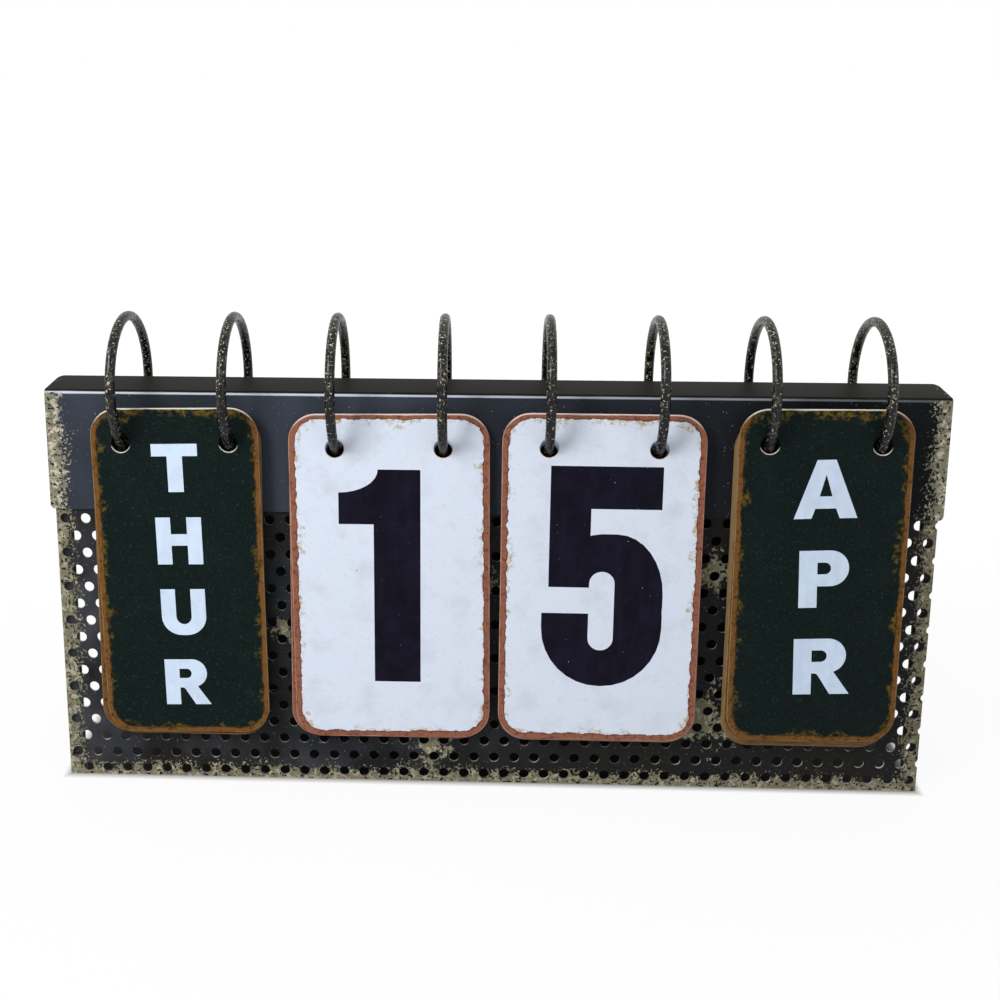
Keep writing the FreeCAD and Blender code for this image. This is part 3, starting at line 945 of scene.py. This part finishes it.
@dataclass
class Stand:
    """The folded stand: a cap over the ridge, a punched front and a plain back, in millimetres."""

    tent: Tent
    cap_width: float = 271.0
    band_height: float = 37.0
    fold_radius: float = 1.4
    cap_corner: float = 4.0
    band_corner: float = 1.5
    panel_width: float = 269.0
    panel_tuck: float = 13.0
    panel_corner: float = 1.0
    hem_return: float = 5.0
    hem_gap: float = 0.2
    back_panel_width: float = 256.0
    hole_pitch: float = 6.35
    hole_diameter: float = 3.2
    first_row_rise: float = 2.3
    first_column_inset: float = 6.1
    row_tilt: float = 0.3
    fold_hole: float = 1.0
    wire_hole: float = 5.0
    patina_reach: float = 6.5
    foot_reach: float = 4.6
    worn_spots: tuple[tuple[float, float, float], ...] = (
        (-64.0, 48.0, 5.0), (0.5, 66.0, 5.0), (-18.0, 12.0, 8.0), (69.0, 69.0, 9.0), (67.0, 24.0, 12.0))
    fold_steps: int = 6
    corner_steps: int = 4
    panel_corner_steps: int = 5
    shoulder_steps: int = 12
    punched_sides: int = 18
    spare_columns: int = 3

    def fold_back_off(self) -> float:
        """Finds how far the cap's fold starts from the corner that its faces would meet in."""
        return self.fold_radius * math.tan(math.radians(90 - self.tent.lean) / 2)

    def cap_point(self, x: float, along: float, out: float) -> Vector:
        """Folds a point of the cap's flat blank into place.

        Args:
            x: place along the ridge.
            along: distance from the middle of the top along the blank, less than 0 at the front.
            out: distance from the sheet's middle plane.

        Returns:
            The folded point.
        """
        tent = self.tent
        turn = math.radians(90 - tent.lean)
        flat = tent.top_width / 2 - self.fold_back_off()
        middle_radius = self.fold_radius - tent.sheet / 2
        reach = abs(along)
        angle = min(max(0.0, (reach - flat) / middle_radius), turn)
        past = max(0.0, reach - flat - middle_radius * turn)
        y = min(reach, flat) + (middle_radius + out) * math.sin(angle) + past * tent.sine
        z = tent.height - self.fold_radius + (middle_radius + out) * math.cos(angle) - past * tent.cosine
        return Vector((x, tent.ridge_y + math.copysign(y, along), z))

    def make_cap(self) -> None:
        """Cuts the cap's blank with its ring holes, folds it and dresses it."""
        tent = self.tent
        fold = (self.fold_radius - tent.sheet / 2) * math.radians(90 - tent.lean)
        flat = tent.top_width / 2 - self.fold_back_off()
        foot = flat + fold + self.band_height - self.fold_back_off()
        half = self.cap_width / 2
        inner = half - self.cap_corner
        lower = rounded_points(half, -foot, 0, self.band_corner, self.corner_steps)
        upper = rounded_points(inner, 0, foot, self.band_corner, self.corner_steps)
        steps = len(upper) // 4
        shoulder_y = tent.top_width / 2 - self.cap_corner
        turns = [math.pi / 2 * step / self.shoulder_steps for step in range(self.shoulder_steps + 1)]
        shoulder = [(inner + self.cap_corner * math.cos(turn), shoulder_y + (flat + fold - shoulder_y) * math.sin(turn))
                    for turn in turns]
        outline = [*lower[3 * steps:], *shoulder, *upper[:2 * steps],
                   *[(-x, y) for x, y in reversed(shoulder)], *lower[2 * steps:3 * steps]]
        drop = foot - self.band_height + ring_drop(tent)
        holes = [ring_points(x, side.value * drop, self.wire_hole / 2, HOLE_SIDES)
                 for side in Side for x in ring_places()]
        folds = [side.value * (flat + fold * step / self.fold_steps)
                 for side in Side for step in range(self.fold_steps + 1)]
        sheet = cut_sheet(outline, holes, (), [((-half, along), (half, along)) for along in folds])
        enamel = FoldedEnamel().material(half, tent.height, self.patina_reach)
        rim = PunchedRim().material()
        piece = thicken("folded_cap", sheet, lambda x, y: tent.sheet / 2, self.cap_point, (enamel, rim), 1)
        settle(piece, "stand", "ridge_cap")

    def panel_point(self, x: float, up: float, out: float) -> Vector:
        """Folds a point of the front panel's flat blank into place, with its hems turned behind it.

        Args:
            x: distance from the blank's middle.
            up: distance up the slope from the foot.
            out: distance from the sheet's middle plane.

        Returns:
            The folded point.
        """
        sheet = self.tent.sheet
        middle_radius = (sheet + self.hem_gap) / 2
        flat = self.panel_width / 2 - sheet - self.hem_gap / 2
        reach = abs(x)
        angle = min(max(0.0, (reach - flat) / middle_radius), math.pi)
        past = max(0.0, reach - flat - middle_radius * math.pi)
        folded_x = min(reach, flat) + (middle_radius + out) * math.sin(angle) - past
        depth = middle_radius - (middle_radius + out) * math.cos(angle)
        drop = self.tent.slope_length - up
        return self.tent.point(Side.FRONT, math.copysign(folded_x, x), drop, -1.5 * sheet - depth)

    def make_front(self) -> None:
        """Punches the front panel's blank, trims it to size, turns its hems and dresses it."""
        sheet = self.tent.sheet
        row_pitch = self.hole_pitch * math.sqrt(3) / 2
        flat = self.panel_width / 2 - sheet - self.hem_gap / 2
        fold = (sheet + self.hem_gap) / 2 * math.pi
        blank_half = flat + fold + self.hem_return - sheet - self.hem_gap / 2
        blank_height = self.tent.slope_length - self.band_height + self.panel_tuck
        columns = math.ceil(self.panel_width / self.hole_pitch) + 2 * self.spare_columns
        rows = math.ceil(blank_height / row_pitch) + 1
        corner_x = ((columns - 1) / 2 * self.hole_pitch + self.first_column_inset
                    - self.spare_columns * self.hole_pitch)
        enamel = PunchedEnamel().material(self.panel_width / 2, self.patina_reach, self.foot_reach, self.worn_spots)
        piece = grow("punched_front", punched_sheet_tree(enamel), {
            "Pitch": self.hole_pitch, "Row Pitch": row_pitch, "Hole Radius": self.hole_diameter / 2,
            "Width": (columns + 1) * self.hole_pitch, "Height": (rows + 1) * row_pitch,
            "Plain Left Of": self.fold_hole - corner_x,
            "Columns": columns, "Rows": rows, "Hole Sides": self.punched_sides})
        work = bmesh.new()
        work.from_mesh(piece.data)
        tilt = math.tan(math.radians(self.row_tilt))
        for vert in work.verts:
            from_left = vert.co.x + corner_x
            rise = vert.co.y + (rows - 1) / 2 * row_pitch + self.first_row_rise + from_left * tilt
            vert.co = (from_left - self.panel_width / 2, rise, 0)
        cuts = [((blank_half, 0, 0), (1, 0, 0), True), ((-blank_half, 0, 0), (-1, 0, 0), True),
                ((0, 0, 0), (0, -1, 0), True), ((0, blank_height, 0), (0, 1, 0), True)]
        cuts += [((hand * (flat + fold * step / self.fold_steps), 0, 0), (1, 0, 0), False)
                 for step in range(self.fold_steps + 1) for hand in (-1, 1)]
        for at, normal, trims in cuts:
            geometry = [*work.verts, *work.edges, *work.faces]
            bmesh.ops.bisect_plane(work, geom=geometry, plane_co=at, plane_no=normal, clear_outer=trims)
        bmesh.ops.recalc_face_normals(work, faces=work.faces)
        if sum(face.normal.z * face.calc_area() for face in work.faces) < 0:
            bmesh.ops.reverse_faces(work, faces=work.faces)
        work.verts.index_update()
        blank = Sheet([(vert.co.x, vert.co.y) for vert in work.verts],
                      [tuple(vert.index for vert in face.verts) for face in work.faces],
                      [0] * len(work.faces))
        work.free()
        bpy.data.objects.remove(piece)
        rim = bpy.data.materials["burnished_punched_rim"]
        piece = thicken("punched_front", blank, lambda x, y: sheet / 2, self.panel_point, (enamel, rim), 1)
        store(piece, "panel_hem", [float(abs(x) > flat + fold / 2) for x, _ in blank.points * 2])
        settle(piece, "stand", "perforated_panel")

    def make_back(self) -> None:
        """Cuts the plain back panel and dresses it."""
        sheet = self.tent.sheet
        height = self.tent.slope_length - self.band_height + self.panel_tuck
        outline = rounded_points(self.back_panel_width / 2, 0, height, self.panel_corner, self.panel_corner_steps)

        def place(x: float, up: float, out: float) -> Vector:
            """Puts a point of the panel on the back slope."""
            return self.tent.point(Side.BACK, -x, self.tent.slope_length - up, out - 1.5 * sheet)

        enamel = bpy.data.materials["satin_enamel_on_folded_steel"]
        piece = thicken("plain_back", cut_sheet(outline), lambda x, y: sheet / 2, place, (enamel,), 0)
        settle(piece, "stand", "back_panel")

    def build(self) -> None:
        """Makes the whole stand."""
        self.make_cap()
        self.make_front()
        self.make_back()


def settle(piece: bpy.types.Object, body: str, node: str) -> None:
    """Lets a piece stand for a node of the frame, and reports it.

    Args:
        piece: the finished piece.
        body: the body that it moves with.
        node: the node that it stands for.
    """
    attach(piece, body)
    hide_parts(node)
    piece.data.calc_loop_triangles()
    LOG.info("%s stands for %s on %s, %d triangles", piece.name, node, body, len(piece.data.loop_triangles))


def ring_places() -> list[float]:
    """Lists the rings' places along the ridge in mm, read from their joints."""
    return [joint["pos_m"][0] / MM for joint in frame["joints"] if joint["name"].startswith("turn_ring_")]


def ring_drop(tent: Tent) -> float:
    """Finds how far down the cap's face the rings pass through it, in mm."""
    rings = Rings(tent)
    centre_out = -tent.top_width / 2 * tent.cosine
    return math.sqrt(rings.radius ** 2 - centre_out ** 2) - tent.top_width / 2 * tent.sine


@dataclass
class Rings:
    """The eight wire rings over the ridge, in millimetres."""

    tent: Tent
    radius: float = 20.5
    wire_radius: float = 1.49
    gap: float = 0.4
    steps: int = 97
    sides: int = 16

    def build(self) -> None:
        """Bends each ring, turns it into the ring's plane, centres it on its joint and dresses it."""
        top = self.tent.height + self.radius
        tree = wire_ring_tree(BlackenedWire().material(self.tent.height - self.radius, top))
        upright = Matrix(((0, 0, 1, 0), (1, 0, 0, 0), (0, 1, 0, 0), (0, 0, 0, 1)))
        opening = self.gap / self.radius
        for joint in frame["joints"]:
            if not joint["name"].startswith("turn_ring_"):
                continue
            node = joint["child"]
            piece = grow(node + "_wire", tree, {
                "Radius": self.radius * MM, "Wire Radius": self.wire_radius * MM,
                "Start": (opening - math.pi) / 2, "Sweep": 2 * math.pi - opening,
                "Steps": self.steps, "Sides": self.sides})
            piece.data.transform(Matrix.Translation(joint["pos_m"]) @ upright)
            piece.data.shade_smooth()
            piece.data.set_sharp_from_angle(angle=math.radians(WIRE_CREASE))
            settle(piece, node, node)


@dataclass
class Layout:
    """How a stack's lettering lies on its tags, in millimetres from the middle of the two ring holes."""

    letter_height: float
    top: float
    pitch: float
    middle: float


@dataclass
class TagStack:
    """A stack of printed tags that hang on two rings, in millimetres."""

    tent: Tent
    name: str
    kind: Print
    width: float
    height: float
    hang: float
    front: tuple[str, ...]
    back: tuple[str, ...]
    layout: Layout
    print_turn: float = 0.0
    sheet: float = 0.5
    chamfer: float = 0.14
    corner: float = 8.5
    hole_inset: float = 10.6
    hole_radius: float = 2.8
    ring_spacing: float = 32.6
    hang_fade: float = -0.6
    corner_steps: int = 10
    rim_guides: tuple[float, ...] = (2.0, 4.0, 8.0)
    eyelet_guides: tuple[float, ...] = (0.6, 1.5)
    farthest: float = 8.0
    order_shift: float = 37.0
    name_shift: float = 211.0
    inner_shift: float = 19.0

    words = {"thu": "THUR", "tue": "TUES"}

    def rim_depth(self, x: float, y: float) -> float:
        """Finds how far a point of the tag lies in from its rim."""
        half_x = self.width / 2 - self.corner
        half_y = self.height / 2 - self.corner
        past_x = abs(x) - half_x
        past_y = abs(y - self.hole_inset + self.height / 2) - half_y
        outside = math.hypot(max(past_x, 0.0), max(past_y, 0.0))
        return self.corner - outside - min(max(past_x, past_y), 0.0)

    def glyphs(self, text: str) -> list[Shape]:
        """Lays out a tag's letters, one under another, or its numeral.

        Args:
            text: what the tag shows.

        Returns:
            The shapes in mm, in the order in which they are painted or scraped.
        """
        shares = letter_shares() if self.kind is Print.WORD else digit_shares()
        turn = math.radians(self.print_turn)
        middle_y = self.hole_inset - self.height / 2
        shapes = []
        for place, glyph in enumerate(text):
            right = max(x for shape in shares[glyph] for x, _ in shape.points if shape.paints)
            base = self.layout.top - place * self.layout.pitch - self.layout.letter_height
            for shape in shares[glyph]:
                points = []
                for share_x, share_y in shape.points:
                    x = self.layout.middle + (share_x - right / 2) * self.layout.letter_height
                    y = base + share_y * self.layout.letter_height - middle_y
                    points.append((x * math.cos(turn) - y * math.sin(turn),
                                   middle_y + x * math.sin(turn) + y * math.cos(turn)))
                shapes.append(replace(shape, points=tuple(points)))
        return shapes

    def make_tag(self, name: str, side: Side, order: int, finishes: Sequence[bpy.types.Material]) -> None:
        """Cuts, prints, hangs and dresses one tag.

        Args:
            name: the tag's own name.
            side: the slope that it hangs on.
            order: its place from the outermost tag inwards.
            finishes: materials of the face, the ink and the edge.
        """
        low, high = self.hole_inset - self.height, self.hole_inset
        holes = [ring_points(hand * self.ring_spacing / 2, 0, self.hole_radius, HOLE_SIDES) for hand in (-1, 1)]
        guides = []
        for inset in (self.chamfer, *self.rim_guides):
            loop = rounded_points(self.width / 2 - inset, low + inset, high - inset, self.corner - inset,
                                  self.corner_steps)
            guides.append([*loop, loop[0]])
        for hand in (-1, 1):
            for rise in (self.chamfer, *self.eyelet_guides):
                loop = ring_points(hand * self.ring_spacing / 2, 0, self.hole_radius + rise, HOLE_SIDES)
                guides.append([*loop, loop[0]])
        text = self.words.get(name, name.upper())
        outline = rounded_points(self.width / 2, low, high, self.corner, self.corner_steps)
        sheet = cut_sheet(outline, holes, self.glyphs(text), guides)
        body = self.name + "_" + name
        joint = next(joint for joint in frame["joints"] if joint["child"] == body)
        up = Vector((0, -side.value * self.tent.sine, self.tent.cosine))
        face = Vector((1, 0, 0)).cross(up)
        hang = math.radians(-side.value * self.hang * self.hang_fade ** order)
        origin = Vector(joint["pos_m"]) / MM

        def hole_depth(x: float, y: float) -> float:
            """Finds how far a point of the tag lies from the nearer ring hole."""
            return math.hypot(abs(x) - self.ring_spacing / 2, y) - self.hole_radius

        def half(x: float, y: float) -> float:
            """Finds half the tag's thickness, which is less on its rims."""
            on_rim = min(self.rim_depth(x, y), hole_depth(x, y)) < self.chamfer / 2
            return self.sheet / 2 - (self.chamfer if on_rim else 0.0)

        def place(x: float, y: float, out: float) -> Vector:
            """Hangs a point of the tag on its rings."""
            swung_x = x * math.cos(hang) - y * math.sin(hang)
            swung_y = x * math.sin(hang) + y * math.cos(hang)
            return origin + Vector((swung_x, 0, 0)) + up * swung_y + face * out

        piece = thicken("tag_" + body, sheet, half, place, finishes, 2)
        seed = self.order_shift * (1 + len(self.front) * (side is Side.BACK) + order) + self.name_shift * len(self.name)
        both_sides = [(x, y, seed + shift) for shift in (0.0, self.inner_shift) for x, y in sheet.points]
        spots = piece.data.attributes.new("tag_place", "FLOAT_VECTOR", "POINT")
        spots.data.foreach_set("vector", [value for spot in both_sides for value in spot])
        for attribute, depth in (("tag_rim", self.rim_depth), ("tag_eyelet", hole_depth)):
            store(piece, attribute, [min(depth(x, y), self.farthest) for x, y, _ in both_sides])
        settle(piece, body, body)

    def build(self, finishes: Sequence[bpy.types.Material]) -> None:
        """Makes every tag of the stack.

        Args:
            finishes: materials of the face, the ink and the edge.
        """
        for side, names in ((Side.FRONT, self.front), (Side.BACK, self.back)):
            for order, name in enumerate(names):
                self.make_tag(name, side, order, finishes)


def seen_directly(tree: bpy.types.NodeTree) -> bpy.types.NodeSocket:
    """Finds whether a ray comes from the camera, a gloss or a glass, which all see the white background."""
    rays = [add_node(tree, "ShaderNodeLightPath", out=out) for out in (CAMERA_RAY, GLOSSY_RAY, TRANSMISSION_RAY)]
    return calc(tree, "MAXIMUM", calc(tree, "MAXIMUM", rays[0], rays[1]), rays[2])


@dataclass
class Studio:
    """A pale floor, soft lamps and the photograph's viewpoint. Sizes are in millimetres, angles in degrees."""

    front_foot_y: float
    middle_y: float
    half_width: float
    focal_pixels: float = 1250.0
    frame_pixels: float = 1000.0
    centre_pixel: Point = (445.0, 448.4)
    pitch: float = 20.42
    yaw: float = -2.27
    roll: float = 0.10
    camera: tuple[float, float, float] = (-0.18, -335.5, 238.4)
    floor_size: float = 6000.0
    floor_colour: str = "#b9b8b6"
    # Painted shade that darkens the floor under the stand.
    shade_colour: str = "#101010"
    sky: float = 0.46
    sky_colour: str = "#ffffff"
    glow_colour: str = "#000000"
    foot_glow: float = 0.92
    far_glow: float = 0.08
    foot_reach: float = 2.0
    far_reach: float = 300.0
    shade_fade: float = 3.0
    aim_height: float = 70.0
    sensor: float = 36.0

    def make_floor(self) -> None:
        """Lays a pale floor, nearly white for the camera, which keeps the shadow and has painted shade under the stand.
        """
        half = self.floor_size / 2 * MM
        mesh = bpy.data.meshes.new("floor")
        mesh.from_pydata([(-half, -half, 0), (half, -half, 0), (half, half, 0), (-half, half, 0)], [], [(0, 1, 2, 3)])
        floor = add_object("floor", mesh)
        coat = Surface("pale_studio_floor", self.floor_colour, 0.9)
        past = []
        for axis, middle, reach in ((coat.x, 0.0, self.half_width),
                                    (coat.y, self.middle_y, self.middle_y - self.front_foot_y)):
            distance = coat.calc("ABSOLUTE", coat.calc("SUBTRACT", axis, middle))
            past.append(coat.calc("SUBTRACT", distance, reach))
        beyond = coat.calc("MAXIMUM", past[0], past[1])
        # Painted shade: the floor under the stand is darkened, fading out at the feet.
        coat.cover(coat.ramp(beyond, 0.0, -self.shade_fade), self.shade_colour, 0.9)
        near = coat.ramp(beyond, -0.5, self.foot_reach, 0.0, self.foot_glow)
        far = coat.ramp(beyond, self.foot_reach, self.far_reach, 0.0, self.far_glow)
        glow = coat.both(coat.calc("ADD", near, far), seen_directly(coat.tree))
        coat.cover(glow, self.glow_colour, 0.9)
        coat.fixed["Emission Strength"] = glow
        mesh.materials.append(coat.finish())
        floor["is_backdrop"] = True

    def make_world(self) -> None:
        """Lights the scene softly from all round, with a white background for camera, gloss and glass."""
        world = bpy.data.worlds.new("soft_studio")
        bpy.context.scene.world = world
        world.use_nodes = True
        tree = world.node_tree
        tree.nodes.clear()
        strength = add_node(tree, "ShaderNodeMapRange", {0: seen_directly(tree), 3: self.sky, 4: 1.0})
        light = add_node(tree, "ShaderNodeBackground", {"Color": srgb(self.sky_colour), "Strength": strength})
        add_node(tree, "ShaderNodeOutputWorld", {"Surface": light})

    def make_lamp(self, name: str, place: tuple[float, float, float], size: float, power: float) -> None:
        """Hangs a square lamp that faces the calendar.

        Args:
            name: the lamp's name.
            place: where it hangs.
            size: length of its sides.
            power: its power in watts.
        """
        data = bpy.data.lights.new(name, "AREA")
        data.size = size * MM
        data.energy = power
        lamp = add_object(name, data)
        lamp.location = Vector(place) * MM
        lamp.rotation_euler = (Vector((0, 0, self.aim_height * MM)) - lamp.location).to_track_quat("-Z", "Y").to_euler()

    def make_camera(self) -> None:
        """Places the camera where the photograph was taken, with its principal point off the middle."""
        pitch, yaw, roll = (math.radians(angle) for angle in (self.pitch, self.yaw, self.roll))
        ahead = Vector((math.sin(yaw) * math.cos(pitch), math.cos(yaw) * math.cos(pitch), -math.sin(pitch)))
        level = Vector((math.cos(yaw), -math.sin(yaw), 0))
        down = ahead.cross(level)
        right = level * math.cos(roll) + down * math.sin(roll)
        below = down * math.cos(roll) - level * math.sin(roll)
        data = bpy.data.cameras.new("viewpoint")
        data.sensor_width = self.sensor
        data.lens = self.sensor * self.focal_pixels / self.frame_pixels
        data.shift_x = (self.frame_pixels / 2 - self.centre_pixel[0]) / self.frame_pixels
        data.shift_y = (self.centre_pixel[1] - self.frame_pixels / 2) / self.frame_pixels
        camera = add_object("viewpoint", data)
        turn = Matrix((right, -below, -ahead)).transposed()
        place = Vector(self.camera) + Vector((0, self.front_foot_y, 0))
        camera.matrix_world = Matrix.Translation(place * MM) @ turn.to_4x4()
        bpy.context.scene.camera = camera

    def build(self) -> None:
        """Sets up the whole studio."""
        bpy.context.scene.view_settings.view_transform = "Standard"
        self.make_floor()
        self.make_world()
        self.make_lamp("key", place=(-420.0, -380.0, 520.0), size=260.0, power=3.5)
        self.make_lamp("fill", place=(800.0, -800.0, 500.0), size=700.0, power=1.2)
        self.make_camera()


def main() -> None:
    """Builds the calendar around the frame, sets up the studio and works out both sizes."""
    logging.basicConfig(level=logging.INFO, format="%(name)s: %(message)s")
    ring = next(joint for joint in frame["joints"] if joint["name"].startswith("turn_ring_"))
    tent = Tent(ridge_y=ring["pos_m"][1] / MM)
    Stand(tent).build()
    Rings(tent).build()
    dark = (DARK_ENAMEL.material(TagStack.hole_inset), PALE_INK.material(), DARK_EDGE.material())
    pale = (PALE_ENAMEL.material(TagStack.hole_inset), DARK_INK.material(), PALE_EDGE.material())
    TagStack(tent, "weekday", Print.WORD, width=50.8, height=103.0, hang=0.9,
             front=("thu", "fri", "sat", "sun"), back=("wed", "tue", "mon"),
             layout=Layout(letter_height=14.8, top=-0.3, pitch=22.7, middle=0.0), print_turn=0.4).build(dark)
    TagStack(tent, "tens", Print.NUMBER, width=60.5, height=102.7, hang=0.6, front=("1", "2", "3"), back=("0",),
             layout=Layout(letter_height=67.4, top=-6.4, pitch=0.0, middle=-3.3), print_turn=-0.5).build(pale)
    TagStack(tent, "units", Print.NUMBER, width=60.5, height=102.7, hang=-0.15, front=("5", "6", "7", "8", "9"),
             back=("4", "3", "2", "1", "0"),
             layout=Layout(letter_height=69.2, top=-5.2, pitch=0.0, middle=0.7)).build(pale)
    TagStack(tent, "month", Print.WORD, width=50.8, height=103.0, hang=0.3,
             front=("apr", "may", "jun", "jul", "aug", "sep", "oct", "nov", "dec"), back=("mar", "feb", "jan"),
             layout=Layout(letter_height=17.7, top=-4.4, pitch=27.5, middle=1.5), print_turn=1.8).build(dark)
    front_foot_y = tent.ridge_y - tent.top_width / 2 - tent.slope_length * tent.sine
    Studio(front_foot_y, tent.ridge_y, Stand.panel_width / 2).build()
    visual_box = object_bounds()
    sizes = {name: [[round(value, 6) for value in corner] for corner in box]
             for name, box in (("cad", CAD_BOX), ("visual", visual_box))}


if __name__ == "__main__":
    main()
